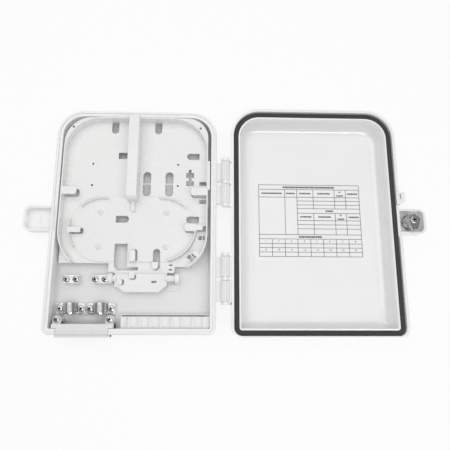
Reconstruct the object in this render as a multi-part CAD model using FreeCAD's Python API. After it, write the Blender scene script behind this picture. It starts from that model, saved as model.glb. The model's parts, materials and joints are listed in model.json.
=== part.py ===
import FreeCAD, Part
import math
import os

os.makedirs("parts", exist_ok=True)
V = FreeCAD.Vector

# Wall-mounted fibre distribution box, lying on its back with the lid swung open.
# Millimetres. Origin at the centre of the base's back face, +Z away from the wall,
# +Y towards the top of the box, +X towards the hinge side.

# Seal line, the closed path that the rim tongue and the gasket share
seal_w = 193.0
seal_h = 269.0
seal_r_top = 29.4
seal_r_bot = 6.2
least_corner = 1.0       # smallest radius of an inner corner

# Base housing
base_depth = 27.0        # back face to the top of the tongue
base_floor = 3.0
base_wall = 2.6
base_fillet = 5.0        # inside, between wall and floor
back_fillet = 2.5        # outside, round the back face
tongue_w = 2.4
tongue_h = 2.0
rim_shoulder = 1.1       # ledge outside the tongue
rim_ledge = 3.5          # ledge inside the tongue
rim_t = 3.4              # thickness of the rim flange

# Lid cover
lid_depth = 27.0         # outer face to the parting plane
lid_skin = 2.4
lid_lip = 2.2            # wall between tub and gasket groove
lid_tub_fillet = 12.0
skirt_gap = 0.9          # between the base rim and the lid skirt
skirt_t = 3.4
skirt_h = 3.0            # how far the skirt reaches past the parting plane
groove_floor_t = 2.6

# Gasket
gasket_h = 2.8
gasket_in_gap = 0.2
gasket_out_gap = 0.4
gasket_face_gap = 0.25   # between gasket and tongue with the lid shut

# Snap hinges
hinge_gap = 1.4          # between the barrels and the open lid
hinge_pitch = 117.4
hinge_mid_y = -14.2
pin_r = 2.6
pin_clearance = 0.05
barrel_r = 5.2
barrel_len = 24.0
barrel_slot = 3.4
hinge_plate_t = 3.8
hinge_plate_gap = 0.3
lug_clear = 1.6          # between the lugs and the skirt of the shut lid
lug_t = 6.5
lug_toe = 3.1            # end of the lug's flat top, short of the pivot axis

# Latch: a cup on the base, a tab on the lid
latch_y = -2.0
latch_reach = 31.5       # beyond the base rim
latch_r = 8.0
latch_wall = 2.8
latch_floor_t = 2.5
cup_clear = 0.6          # cup's edge below the parting plane
tab_depth = 12.0
tab_overhang = 4.4
tab_clear = 0.3
cup_rib_from_end = 16.6
cup_rib_l = 10.2
cup_rib_w = 1.0
cup_rib_h = 0.6

# Cam lock
lock_to_keeper = 10.7    # lock axis to the inside of the cup's end wall
sleeve_r = 8.0
sleeve_head_r = 11.0
sleeve_head_t = 2.0
sleeve_hole_gap = 0.1
nut_room = 2.0           # between the nut's corners and the tab's walls
nut_t = 4.0
core_r = 6.0
core_gap = 0.06
core_head_t = 1.2
key_side = 8.0
key_depth = 6.0
cam_rise = 4.0           # underside of the cam above the parting plane, lid open
cam_t = 2.5
cam_nose = 12.2          # nose and its corners from the lock axis
cam_nose_left = 2.4
cam_nose_right = 4.4
cam_nose_slant = 0.6
cam_cheek = 6.6
cam_cheek_low = 7.6
cam_side = 7.0
cam_side_up = 3.4
cam_back = 8.6
cam_back_up = 2.2
cam_tip = 1.0
cam_corner = 0.6
cam_side_r = 2.0
cam_square = 7.0
cam_square_gap = 0.1
cam_screw_r = 4.7
cam_swing_gap = 0.5      # between the turning cam and the cup's side walls
lock_room = 0.9          # between the cam's screw and the cup's floor
keeper_low_gap = 2.5     # the cup's window round the cam's nose
keeper_high_gap = 1.5
keeper_side_gap = 1.0

# Seal eyelet on the lid's edge
eyelet_y = 28.2
eyelet_len = 12.8
eyelet_reach = 6.9
eyelet_t = 9.0
eyelet_corner = 1.5
eyelet_slot_in = 0.6
eyelet_slot_w = 1.6
eyelet_slot_l = 6.6
eyelet_slope = 3.6

# Fibre tray
tray_gap_left = 2.2
tray_gap_right = 3.8
tray_gap_top = 0.8
tray_floor_z = 11.0      # underside of the tray's plate above the back face
tray_plate = 2.0
tray_wall = 1.6
tray_wall_h = 13.0       # above the plate
tray_r_top = 44.0
tray_r_left = 50.8
tray_r_right = 46.0
tray_left_low = 76.0     # lower edges of the plate above the base's lower wall
tray_right_low = 72.0
tray_neck_low = 65.6
tray_left_turn = 114.4   # where the side walls start to curve in
tray_right_turn = 110.2
neck_left = 61.8         # from the base's left wall
neck_right = 141.0
wall_end_left = 20.0
wall_end_right = 26.0    # from the base's right wall

# Tray pivot: a tongue below the neck, with a shaft at each side in a bracket
pivot_up = 58.2          # pivot axis above the base's lower wall
pivot_r = 3.9
pivot_gap = 0.1
shaft_root = 2.0
shaft_bare_left = 1.4    # shafts between tongue and bracket
shaft_bare_right = 8.9
tongue_left = 69.9
tongue_right = 131.9
tongue_low = 41.8
tongue_tip_left = 81.7
tongue_tip_right = 122.3
tongue_chamfer = 6.0
tongue_left_step = 3.6
tongue_left_rise = 0.4
tongue_right_step = 2.6
tongue_right_rise = 2.0
pivot_rib_w = 2.2
pivot_rib_h = 2.5
pivot_rib_left = 2.2     # past the tongue's left edge
pivot_rib_right = 0.2    # short of the neck's right edge
bracket_t = 5.0
bracket_clear = 0.9
bracket_half = 6.4
bracket_foot_w = 15.0
bracket_foot_l = 8.4
bracket_foot_h = 1.0
half_tab_x = 1.8         # rounded tab under the rib, from the channel's middle
half_tab_w = 6.6
half_tab_low = 0.6       # below the pivot axis
half_tab_r = 2.0
half_hole_x = 2.8
half_hole_w = 8.2
half_hole_low = 1.6
half_hole_l = 6.2
half_hole_r = 3.0
side_tab_x = 15.4        # tab over the side hole, left of the channel's middle
side_tab_l = 6.0
side_hole_x = 9.8        # left of the channel's middle
side_hole_w = 5.0
side_hole_low = 8.0
side_hole_l = 6.6
side_hole_r = 2.0
thin_slot_x = 28.0       # right of the channel's middle
thin_slot_l = 6.0
thin_slot_low = 5.4
thin_slot_w = 2.4

# Ears on the tray's corners, their screw holes and the posts under them
ear_r_left = 33.0
ear_r_right = 26.0
ear_down = 1.0           # top of the ears below the wall's top
ear_hole_r = 1.5
ear_hole_out = 2.2       # from the wall
ear_hole_angle = 42.0
post_r = 4.2

# Tray guide fingers
finger_t = 1.6
finger_w = 9.8
finger_left_l = 19.0
finger_right_l = 20.4
finger_tip = 0.3         # tip radius as a share of a finger's width
finger_up = 163.0        # above the base's lower wall
corner_finger_angle = -44.0
corner_finger_w = 4.4
corner_finger_l = 8.6
corner_finger_off = 3.6  # its near side from the line through the arc's centre
corner_pane = 4.6        # square window beside it
corner_pane_in = 11.0    # from the wall
corner_pane_off = 4.4
corner_slit_w = 1.8
corner_slit_l = 6.0
corner_bridge = 1.2
hook_w = 7.2             # guide hooks on the cassette and on the tray's neck
hook_r = 2.8
hook_in_x = -1.4
hook_in_l = 14.0
hook_neck_x = 25.8
hook_neck_l = 8.4
hook_window_past = 1.2   # the inner hook's window past its side and tip

# Tray slots; x from the channel's middle or the right wall, y from what is named
slot_round = 0.49        # end radius as a share of a slot's width
slot_w = 8.2
slot_l = 15.6
low_slot_up = 11.8       # above the cassette's middle
low_slot_x = 20.6
low_slot_wall = 10.6
high_slot_down = 46.6    # below the tray's top
high_slot_x = 21.4
high_slot_wall = 11.0
top_slot_w = 8.9
top_slot_l = 15.0
top_slot_apart = 27.4
long_slot_w = 9.6
long_slot_l = 31.0
long_slot_round = 0.45
long_slot_first = 15.2
long_slot_pitch = 27.8
long_slot_up = 1.2       # above the cassette
bridge_w = 1.4
pin_hole_r = 1.3
pin_hole_left = 52.8
pin_hole_right = 53.5
pin_hole_down = 57.4     # below the tray's top
pin_hole_pitch = 28.0
cross_off = 1.7          # right of the middle between the last long slot and the tray's edge
cross_down = 74.6
cross_w = 3.2
cross_l = 21.4
cross_arm_w = 9.4
cross_arm_l = 6.4
cross_arm_in = 4.4       # from the slot's upper end
side_window_w = 9.0
side_window_h = 5.0
side_window_down = 82.4  # the upper one below the tray's top
side_window_pitch = 23.4
low_window_up = 105.0    # above the base's lower wall
low_window_wall = 3.3
low_window_w = 3.8
low_window_out_w = 2.4
tie_slot_x = 45.4
tie_slot_l = 4.0
tie_slot_w = 1.6
tie_slot_up = 2.2        # above the neck's lower edge
tie_slot_pitch = 5.4
neck_window_x = 20.4     # L-shaped window above the neck
neck_window_w = 15.4
neck_window_up = 1.6
neck_window_top = 34.0
neck_window_corner = 6.0
neck_window_slant = 4.9
neck_window_foot = 8.4
neck_window_foot_h = 4.4
guide_window_x = 30.2
guide_window_up = 2.7
guide_window_l = 25.3

# Snap lug outside the tray's right wall
lug_out = 2.6
lug_y0 = 35.4
lug_l = 37.4
lug_h = 5.0
lug_r = 1.6

# Splice cassette
cassette_gap_left = 8.4  # from the tray's walls
cassette_gap_right = 12.0
cassette_h = 81.4
cassette_t = 1.2
cassette_up = 118.2      # middle above the base's lower wall
cassette_rib_t = 1.6
cassette_rib_in = 3.0    # middle of the inner ribs from the edge
cassette_edge_in = 1.1
cassette_rib_h = 6.0
cassette_guide_h = 9.0
rib_left_start = 81.0    # angles of the curved ribs, start and sweep
rib_right_start = 43.0
rib_sweep = 54.0
edge_left_start = 164.0
edge_left_sweep = 51.0
edge_right_start = -80.0
edge_right_sweep = 84.0
guide_down = 3.1         # fingers below the cassette's middle
guide_w = 7.0
guide_root = 1.2
guide_left_l = 16.3
guide_right_l = 14.1
guide_right_up = 3.8
guide_out_l = 8.0
guide_window_in = 2.4
guide_window_past = 0.9  # the left window past its finger's tip
boss_r = 3.2
boss_h = 2.2
boss_pin_r = 1.1
boss_pin_h = 4.2
boss_dx = 40.2
boss_dy = 21.4
boss_down = 1.0

# Fibre channel
channel_w = 12.7
channel_h = 22.0
channel_wall = 1.6
channel_from_left = 88.6
channel_foot = 154.6     # lower end above the base's lower wall
channel_nose = 3.0
channel_slope = 3.0
channel_gap = 0.25
thumb_w = 4.4
thumb_l = 12.5
thumb_h = 5.0
thumb_round = 0.48

# Screws
screw_r = 3.8
screw_head_h = 2.6
screw_taper = 0.7        # how much narrower the head is at its top
screw_shank_r = 1.9
screw_shank_l = 5.0
shank_gap = 0.05

# Strength member clamps, beside the left pivot bracket
strength_up = 57.0
strength_post_h = 8.5
strength_plate_t = 1.5
strength_l = 18.2
strength_w = 10.6
strength_r = 1.0
strength_pitch = 11.4
strength_gap = 0.5
strength_apart = 34.0

# Saddle clamps over the two main cables
saddle_pad_h = 5.0
saddle_t = 1.2
saddle_w = 13.2
saddle_pitch = 25.0
saddle_end_r = 4.8
saddle_corner = 6.4
saddle_leg = 2.2
saddle_wall_gap = 2.3    # from the base's left wall
saddle_entry_gap = 0.8   # from the entry's ears
saddle_gap = 0.4         # between the two clamps
cable_r = 7.0

# Cable entry in the lower wall
entry_left = 11.2        # notch edges from the cables
entry_right = 14.0
entry_gap = 0.3
entry_sill = 2.2         # notch floor above the base floor
entry_split = 18.0       # seal below, clamp above
entry_flange_in = 5.0
entry_flange_out = 2.4
entry_lip_over = 1.2     # the clamp's lip past the notch
entry_wing = 4.7
entry_ear_r = 4.8
entry_ear_round = 4.56
entry_ear_t = 3.0
entry_ear_up = 10.4      # screws above the base's lower wall
entry_boss_r = 4.4
bore_r = 5.5
bore_up = 6.2            # bore axis above the seal's lower face

# Drop-cable comb and holes
comb_from_entry = 11.4
comb_gap = 0.4
comb_l = 15.8
comb_h = 14.0
comb_slot_w = 1.6        # slot behind the grooves
comb_slot_depth = 10.5
comb_back = 0.9          # wall behind the slot
drop_pitch = 12.4
drop_first = 3.2         # first groove's middle from the comb's left end
drop_last = 6.0          # least room right of the last groove
groove_r = 7.0
groove_depth = 2.7
drop_hole_r = 3.5
drop_hole_lift = 0.2

# Wall fixing holes
fix_dx = 130.0
fix_dy = 140.0
fix_y = 36.0
fix_r = 2.75

# How far a cutter reaches past the face that it opens
past = 1.0

# Places that several pieces share
rim_out = tongue_w / 2 + rim_shoulder
base_in = -(tongue_w / 2 + rim_ledge)
wall_out = base_in + base_wall
ledge_z = base_depth - tongue_h
rim_low = ledge_z - rim_t
skirt_in = rim_out + skirt_gap
lid_out = skirt_in + skirt_t
gasket_half = skirt_in - gasket_out_gap
lip_out = -(gasket_half + gasket_in_gap)
tub = lip_out - lid_lip
left = -(seal_w / 2 + base_in)
right = seal_w / 2 + base_in
low = -(seal_h / 2 + base_in)
high = seal_h / 2 + base_in
outside = low + base_in - rim_out - past
axis_x = seal_w / 2 + lid_out + barrel_r + hinge_gap
axis_z = base_depth
lid_x = 2 * axis_x
floor_z = base_depth - lid_depth
skirt_top = base_depth + skirt_h
gasket_top = base_depth - gasket_face_gap
groove_z = gasket_top - gasket_h
flange_low = groove_z - groove_floor_t
plate_top = tray_floor_z + tray_plate
wall_top = plate_top + tray_wall_h
hinge_ys = [hinge_mid_y + hinge_pitch / 2, hinge_mid_y - hinge_pitch / 2]

# Tray, cassette and channel
tray_x0 = left + tray_gap_left
tray_x1 = right - tray_gap_right
tray_y1 = high - tray_gap_top
ear_out = tray_r_top + ear_hole_out
ear_dx = tray_r_top - ear_out * math.cos(math.radians(ear_hole_angle))
ear_y = tray_y1 - tray_r_top + ear_out * math.sin(math.radians(ear_hole_angle))
ears = [(tray_x0 + ear_dx, ear_y), (tray_x1 - ear_dx, ear_y)]
ear_top = wall_top - ear_down
neck_y = low + tray_neck_low
channel_x = left + channel_from_left
channel_y0 = low + channel_foot
cassette_x0 = tray_x0 + tray_wall + cassette_gap_left
cassette_x1 = tray_x1 - tray_wall - cassette_gap_right
cassette_y = low + cassette_up
cassette_top = plate_top + cassette_t
guide_left_y = cassette_y - guide_down
guide_right_y = guide_left_y + guide_right_up
guide_tip_left = cassette_x0 + guide_left_l
guide_tip_right = cassette_x1 - guide_right_l
hook_in_y = cassette_y - cassette_h / 2
hook_in_x0 = channel_x + hook_in_x

# Pivot shafts and brackets
pivot_y = low + pivot_up
pivot_z = plate_top - tray_plate / 2
tongue_x0 = left + tongue_left
tongue_x1 = left + tongue_right
bracket_left = tongue_x0 - shaft_bare_left - bracket_clear - bracket_t
bracket_right = tongue_x1 + shaft_bare_right + bracket_clear

# Clamps, cable entry and comb
strength_right_x = bracket_left - strength_gap - strength_l / 2
strength_xs = [strength_right_x - strength_apart, strength_right_x]
strength_y = low + strength_up
strength_z = base_floor + strength_post_h
strength_seat = strength_z + strength_plate_t
saddle_reach = saddle_pitch / 2 + saddle_end_r
cable_x = left + saddle_wall_gap + saddle_reach
cable_xs = [cable_x, cable_x + 2 * saddle_reach + saddle_gap]
saddle_y = low + entry_ear_up + entry_ear_r + saddle_entry_gap + saddle_w / 2
saddle_z = base_floor + saddle_pad_h
saddle_seat = saddle_z + saddle_t
notch_x0 = cable_xs[0] - entry_left
notch_x1 = cable_xs[1] + entry_right
notch_z = base_floor + entry_sill
entry_screw_xs = [notch_x0, notch_x1]
entry_screw_y = low + entry_ear_up
entry_ear_z = entry_split + entry_gap
entry_seat = entry_ear_z + entry_ear_t
comb_x0 = notch_x1 + comb_from_entry
comb_x1 = right - comb_gap
comb_top = base_floor + comb_h
drop_count = int((comb_x1 - comb_x0 - drop_first - drop_last) / drop_pitch) + 1
drop_xs = [comb_x0 + drop_first + i * drop_pitch for i in range(drop_count)]
drop_z = comb_top - groove_depth + drop_hole_r + drop_hole_lift

# Latch and lock, with the lid open
latch_w = 2 * (cam_nose + cam_swing_gap + latch_wall)
cup_end = -(seal_w / 2 + rim_out) - latch_reach
cup_top = base_depth - cup_clear
cam_z = base_depth + cam_rise
cam_top = cam_z + cam_t
cup_floor = 2 * base_depth - cam_top - screw_head_h - lock_room
keeper_z0 = 2 * base_depth - cam_top - keeper_low_gap
keeper_z1 = 2 * base_depth - cam_z + keeper_high_gap
keeper_w = 2 * (cam_nose_right + keeper_side_gap)
tab_end = lid_x - cup_end + tab_overhang
tab_top = base_depth - tab_clear
tab_floor = tab_top - tab_depth
tab_under = tab_floor - latch_floor_t
nut_r = latch_w / 2 - latch_wall - nut_room
lock_x = lid_x - (cup_end + latch_wall) - lock_to_keeper
lock_y = latch_y


def rounded_face(corners):
    """Face inside a polygon whose corners (x, y, radius) are rounded by arcs."""
    count = len(corners)
    ends = []
    for i in range(count):
        point = V(corners[i][0], corners[i][1], 0)
        before = V(corners[i - 1][0], corners[i - 1][1], 0) - point
        after = V(corners[(i + 1) % count][0], corners[(i + 1) % count][1], 0) - point
        before.normalize()
        after.normalize()
        radius = corners[i][2]
        if radius <= 0:
            ends.append((point, point, None))
            continue
        half = before.getAngle(after) / 2
        reach = radius / math.tan(half)
        bisector = before + after
        bisector.normalize()
        middle = point + bisector * (radius / math.sin(half) - radius)
        ends.append((point + before * reach, point + after * reach, middle))
    edges = []
    for i in range(count):
        start, stop, middle = ends[i]
        if middle is not None:
            edges.append(Part.Arc(start, middle, stop).toShape())
        following = ends[(i + 1) % count][0]
        if (following - stop).Length > 1e-6:
            edges.append(Part.LineSegment(stop, following).toShape())
    return Part.Face(Part.Wire(edges))


def prism(corners, z0, z1):
    """Upright prism between two heights over a rounded polygon."""
    face = rounded_face(corners)
    face.translate(V(0, 0, z0))
    return face.extrude(V(0, 0, z1 - z0))


def slab(x0, x1, y0, y1, z0, z1, radius=0.0, ends=("left", "right")):
    """Upright block, rounded in plan at the named ends: left, right, low or high."""
    def corner(x_end, y_end):
        return radius if x_end in ends or y_end in ends else 0.0
    return prism([
        (x0, y0, corner("left", "low")),
        (x1, y0, corner("right", "low")),
        (x1, y1, corner("right", "high")),
        (x0, y1, corner("left", "high")),
    ], z0, z1)


def seal_corners(offset, middle_x=0.0):
    """Corners of the seal line, moved outwards by an offset."""
    half_w = seal_w / 2 + offset
    half_h = seal_h / 2 + offset
    r_top = max(seal_r_top + offset, least_corner)
    r_bot = max(seal_r_bot + offset, least_corner)
    return [
        (middle_x - half_w, -half_h, r_bot),
        (middle_x + half_w, -half_h, r_bot),
        (middle_x + half_w, half_h, r_top),
        (middle_x - half_w, half_h, r_top),
    ]


def seal_band(outer, inner, z0, z1, middle_x=0.0):
    """Ring between two offsets of the seal line."""
    return prism(seal_corners(outer, middle_x), z0, z1).cut(prism(seal_corners(inner, middle_x), z0, z1))


def box(x0, x1, y0, y1, z0, z1):
    return Part.makeBox(x1 - x0, y1 - y0, z1 - z0, V(x0, y0, z0))


def pad(x, y, width, length, z0, z1):
    """Block about a middle point, width along X and length along Y."""
    return box(x - width / 2, x + width / 2, y - length / 2, y + length / 2, z0, z1)


def upright(x, y, radius, z0, z1):
    return Part.makeCylinder(radius, z1 - z0, V(x, y, z0))


def along_y(x, z, radius, y0, y1):
    return Part.makeCylinder(radius, y1 - y0, V(x, y0, z), V(0, 1, 0))


def along_x(y, z, radius, x0, x1):
    return Part.makeCylinder(radius, x1 - x0, V(x0, y, z), V(1, 0, 0))


def side_profile(points, y0, y1):
    """Prism along Y over a polygon given as (x, z)."""
    wire = Part.makePolygon([V(x, y0, z) for x, z in points + points[:1]])
    return Part.Face(wire).extrude(V(0, y1 - y0, 0))


def end_profile(points, x0, x1):
    """Prism along X over a polygon given as (y, z)."""
    wire = Part.makePolygon([V(x0, y, z) for y, z in points + points[:1]])
    return Part.Face(wire).extrude(V(x1 - x0, 0, 0))


def regular_prism(x, y, radius, sides, z0, z1):
    """Upright prism over a regular polygon with a corner towards +Y."""
    angles = [math.radians(90 + 360 * i / sides) for i in range(sides)]
    return prism([(x + radius * math.cos(a), y + radius * math.sin(a), 0) for a in angles], z0, z1)


def round_level_edges(solid, z, radius):
    """Fillet every edge that lies in the plane at one height."""
    chosen = [e for e in solid.Edges if abs(e.BoundBox.ZMin - z) + abs(e.BoundBox.ZMax - z) < 1e-4]
    return solid.makeFillet(radius, chosen)


def fuse(shapes):
    return shapes[0].multiFuse(shapes[1:]).removeSplitter()


def cut(shape, tools):
    return shape.cut(Part.makeCompound(tools))


def arc_rib(x, y, radius, start, sweep, z0, z1):
    """Upright cassette rib along an arc, angles in degrees."""
    outer = Part.makeCylinder(radius + cassette_rib_t / 2, z1 - z0, V(x, y, z0), V(0, 0, 1), sweep)
    inner = upright(x, y, radius - cassette_rib_t / 2, z0, z1)
    outer.rotate(V(x, y, z0), V(0, 0, 1), start)
    return outer.cut(inner)


def screw(x, y, seat_z, head_r=screw_r):
    """Pan-head screw, seated at a height."""
    head = Part.makeCone(head_r, head_r - screw_taper, screw_head_h, V(x, y, seat_z))
    shank = upright(x, y, screw_shank_r, seat_z - screw_shank_l, seat_z)
    return fuse([head, shank])


def screw_hole(x, y, seat_z):
    return upright(x, y, screw_shank_r + shank_gap, seat_z - screw_shank_l - shank_gap, seat_z + past)


def screw_row(xs, y, seat_z):
    return Part.makeCompound([screw(x, y, seat_z) for x in xs])


def pair(x, pitch):
    """Two places at a pitch, one at each side of a middle."""
    return [x - pitch / 2, x + pitch / 2]


def export(name, shape):
    shape.exportStep("parts/%s.step" % name)


def latch_corners(end_x, root_x, inset):
    """Plan of the latch cup or tab, open ended at the box."""
    half = latch_w / 2 - inset
    sign = 1 if end_x > root_x else -1
    tip = end_x - sign * inset
    radius = latch_r - inset
    return [
        (root_x, latch_y - half, 0),
        (tip, latch_y - half, radius),
        (tip, latch_y + half, radius),
        (root_x, latch_y + half, 0),
    ]


def hinge_barrels():
    """C-shaped barrels on their lugs, two to a hinge."""
    parts = []
    wall_x = seal_w / 2 + wall_out - base_wall / 2
    top = base_depth - skirt_h - lug_clear
    lug_corners = [(wall_x, top - lug_t), (wall_x, top), (axis_x - lug_toe, top), (axis_x, axis_z - barrel_r)]
    start = hinge_plate_t / 2 + hinge_plate_gap
    for y in hinge_ys:
        for y0 in (y + start, y - start - barrel_len):
            y1 = y0 + barrel_len
            lug = side_profile(lug_corners, y0, y1)
            barrel = along_y(axis_x, axis_z, barrel_r, y0, y1)
            bore = along_y(axis_x, axis_z, pin_r + pin_clearance, y0, y1)
            slot = box(axis_x - barrel_slot / 2, axis_x + barrel_slot / 2, y0, y1, axis_z, axis_z + barrel_r)
            parts.append(cut(fuse([barrel, lug]), [bore, slot]))
    return parts


def pivot_brackets(root):
    """Round-topped brackets for the tray's shafts, the right one on a low foot."""
    parts = []
    for x in (bracket_left, bracket_right):
        stem = box(x, x + bracket_t, pivot_y - bracket_half, pivot_y + bracket_half, root, pivot_z)
        crown = along_x(pivot_y, pivot_z, bracket_half, x, x + bracket_t)
        hole = along_x(pivot_y, pivot_z, pivot_r + pivot_gap, x, x + bracket_t)
        parts.append(fuse([stem, crown]).cut(hole))
    end = bracket_right + bracket_t
    foot_y = pivot_y - bracket_half
    foot_top = base_floor + bracket_foot_h
    parts.append(box(end - bracket_foot_w, end, foot_y - bracket_foot_l, foot_y, root, foot_top))
    return parts


def base_posts():
    """Posts, pads, bosses and brackets that stand on the base floor."""
    parts = []
    root = base_floor - base_wall / 2
    for x, y in ears:
        parts.append(upright(x, y, post_r, root, tray_floor_z))
    for x in strength_xs:
        parts.append(pad(x, strength_y, strength_l, strength_w, root, strength_z))
    for x in cable_xs:
        for middle in pair(x, saddle_pitch):
            parts.append(pad(middle, saddle_y, 2 * saddle_end_r, saddle_w, root, saddle_z))
    for x in entry_screw_xs:
        parts.append(upright(x, entry_screw_y, entry_boss_r, root, entry_ear_z))
    return parts + pivot_brackets(root)


def latch_cup():
    """Cup that takes the lock, open towards the rim's ledge, with a rib on its floor."""
    root = -(seal_w / 2 + wall_out - base_wall / 2)
    cup = prism(latch_corners(cup_end, root, 0), cup_floor - latch_floor_t, cup_top)
    hollow = prism(latch_corners(cup_end, -(seal_w / 2 + rim_out), latch_wall), cup_floor, cup_top)
    over_rim = prism(latch_corners(cup_end, root - past, 0), cup_floor, cup_top)
    over_rim = over_rim.common(prism(seal_corners(rim_out), ledge_z, cup_top))
    rib_x = cup_end + cup_rib_from_end
    rib = box(rib_x, rib_x + cup_rib_w, latch_y - cup_rib_l / 2, latch_y + cup_rib_l / 2,
              cup_floor - cup_rib_h, cup_floor + cup_rib_h)
    return fuse([cut(cup, [hollow, over_rim]), rib])


def base_holes():
    """Cutters for the screw holes, the drop-cable holes and the wall fixing holes."""
    holes = []
    for x in strength_xs:
        holes += [screw_hole(screw_x, strength_y, strength_seat) for screw_x in pair(x, strength_pitch)]
    for x in cable_xs:
        holes += [screw_hole(screw_x, saddle_y, saddle_seat) for screw_x in pair(x, saddle_pitch)]
    holes += [screw_hole(x, entry_screw_y, entry_seat) for x in entry_screw_xs]
    holes += [along_y(x, drop_z, drop_hole_r, outside, low + past) for x in drop_xs]
    for x in pair(0, fix_dx):
        for y in pair(fix_y, fix_dy):
            holes.append(upright(x, y, fix_r, -past, base_floor + base_fillet))
    return holes


def base_housing():
    shell = prism(seal_corners(wall_out), 0, ledge_z)
    shell = round_level_edges(shell, 0, back_fillet)
    flange = prism(seal_corners(rim_out), rim_low, ledge_z)
    ring = seal_band(tongue_w / 2, -tongue_w / 2, ledge_z, base_depth)
    solid = fuse([shell, flange, ring, latch_cup()])
    cavity = prism(seal_corners(base_in), base_floor, base_depth)
    cavity = round_level_edges(cavity, base_floor, base_fillet)
    keeper = box(cup_end - past, cup_end + latch_wall + past, latch_y - keeper_w / 2, latch_y + keeper_w / 2,
                 keeper_z0, keeper_z1)
    notch = box(notch_x0, notch_x1, outside, low + past, notch_z, base_depth + past)
    solid = cut(solid, [cavity, keeper, notch])
    solid = fuse([solid] + base_posts() + hinge_barrels())
    return cut(solid, base_holes())


def seal_eyelet(edge_x):
    """Eyelet for a wire seal on the lid's edge, sloped at its lower end."""
    y0 = eyelet_y - eyelet_len / 2
    y1 = eyelet_y + eyelet_len / 2
    root_x = edge_x - skirt_t / 2
    solid = prism([
        (root_x, y0 - eyelet_slope, 0),
        (edge_x, y0 - eyelet_slope, 0),
        (edge_x + eyelet_reach, y0, 0),
        (edge_x + eyelet_reach, y1, eyelet_corner),
        (root_x, y1, 0),
    ], skirt_top - eyelet_t, skirt_top)
    slot_x = edge_x + eyelet_slot_in
    slot = box(slot_x, slot_x + eyelet_slot_w, eyelet_y - eyelet_slot_l / 2, eyelet_y + eyelet_slot_l / 2,
               base_depth - eyelet_t, skirt_top)
    return solid.cut(slot)


def hinge_plates():
    """Three plates to a hinge, with the pin that snaps into the barrels between them."""
    parts = []
    edge_x = lid_x - seal_w / 2 - lid_out
    step = hinge_plate_t + 2 * hinge_plate_gap + barrel_len
    for y in hinge_ys:
        for k in (-1, 0, 1):
            y0 = y + k * step - hinge_plate_t / 2
            y1 = y0 + hinge_plate_t
            parts.append(along_y(axis_x, axis_z, barrel_r, y0, y1))
            parts.append(box(axis_x, edge_x + skirt_t / 2, y0, y1, flange_low, skirt_top))
        parts.append(along_y(axis_x, axis_z, pin_r, y - step, y + step))
    return parts


def lid_cover():
    edge_x = lid_x + seal_w / 2 + lid_out
    shell = prism(seal_corners(lip_out, lid_x), floor_z, gasket_top)
    shell = round_level_edges(shell, floor_z, lid_tub_fillet + lid_skin)
    flange = prism(seal_corners(lid_out, lid_x), flange_low, skirt_top)
    tab_root = lid_x + seal_w / 2 + lip_out - lid_lip / 2
    tab = prism(latch_corners(tab_end, tab_root, 0), tab_under, tab_top)
    solid = fuse([shell, flange, tab, seal_eyelet(edge_x)])
    groove = seal_band(skirt_in, lip_out, groove_z, skirt_top, lid_x)
    tab_room = prism(latch_corners(tab_end, edge_x, latch_wall), tab_floor, skirt_top)
    skirt_half = latch_w / 2 + tab_overhang
    skirt_gate = box(lid_x + seal_w / 2 + skirt_in, tab_end, latch_y - skirt_half, latch_y + skirt_half,
                     tab_top, skirt_top)
    sleeve_hole = upright(lock_x, lock_y, sleeve_r + sleeve_hole_gap, tab_under - past, tab_floor + past)
    lip_top = prism(seal_corners(lip_out, lid_x), gasket_top, skirt_top)
    cavity = prism(seal_corners(tub, lid_x), floor_z + lid_skin, skirt_top)
    cavity = round_level_edges(cavity, floor_z + lid_skin, lid_tub_fillet)
    solid = cut(solid, [groove, tab_room, skirt_gate, sleeve_hole, lip_top, cavity])
    return fuse([solid] + hinge_plates())


def lid_gasket():
    return seal_band(gasket_half, -gasket_half, groove_z, gasket_top, lid_x)


def tray_outline(inset):
    """Rounded outline of the tray wall, drawn in by an inset."""
    return [
        (tray_x0 + inset, low + tray_left_turn - tray_r_left + inset, tray_r_left - inset),
        (tray_x1 - inset, low + tray_right_turn - tray_r_right + inset, tray_r_right - inset),
        (tray_x1 - inset, tray_y1 - inset, tray_r_top - inset),
        (tray_x0 + inset, tray_y1 - inset, tray_r_top - inset),
    ]


def finger_plan(x0, x1, y, width, z0, z1):
    """Outline of a finger, or of the window under it, from its root at x0 to its tip at x1."""
    tip = ("right",) if x1 > x0 else ("left",)
    return slab(min(x0, x1), max(x0, x1), y - width / 2, y + width / 2, z0, z1, width * finger_tip, tip)


def finger(x0, x1, y, z_top, width):
    return finger_plan(x0, x1, y, width, z_top - finger_t, z_top)


def guide_hook(x, y0, y1, z0, z1, round_end):
    """Upright foot with a flat tongue that reaches to the right over a window."""
    tongue = slab(x, x + hook_w, y0, y1, z1 - finger_t, z1, hook_r, (round_end,))
    trim_y0 = y0 + hook_r if round_end == "low" else y0
    trim_y1 = y1 - hook_r if round_end == "high" else y1
    return [tongue, box(x, x + tray_wall, trim_y0, trim_y1, z0, z1)]


def cross_slot(x0, x1, y, z0, z1, round_end):
    """Cutter for a guide slot along X, round at one end."""
    return slab(x0, x1, y - slot_w / 2, y + slot_w / 2, z0, z1, slot_w * slot_round, (round_end,))


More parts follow.
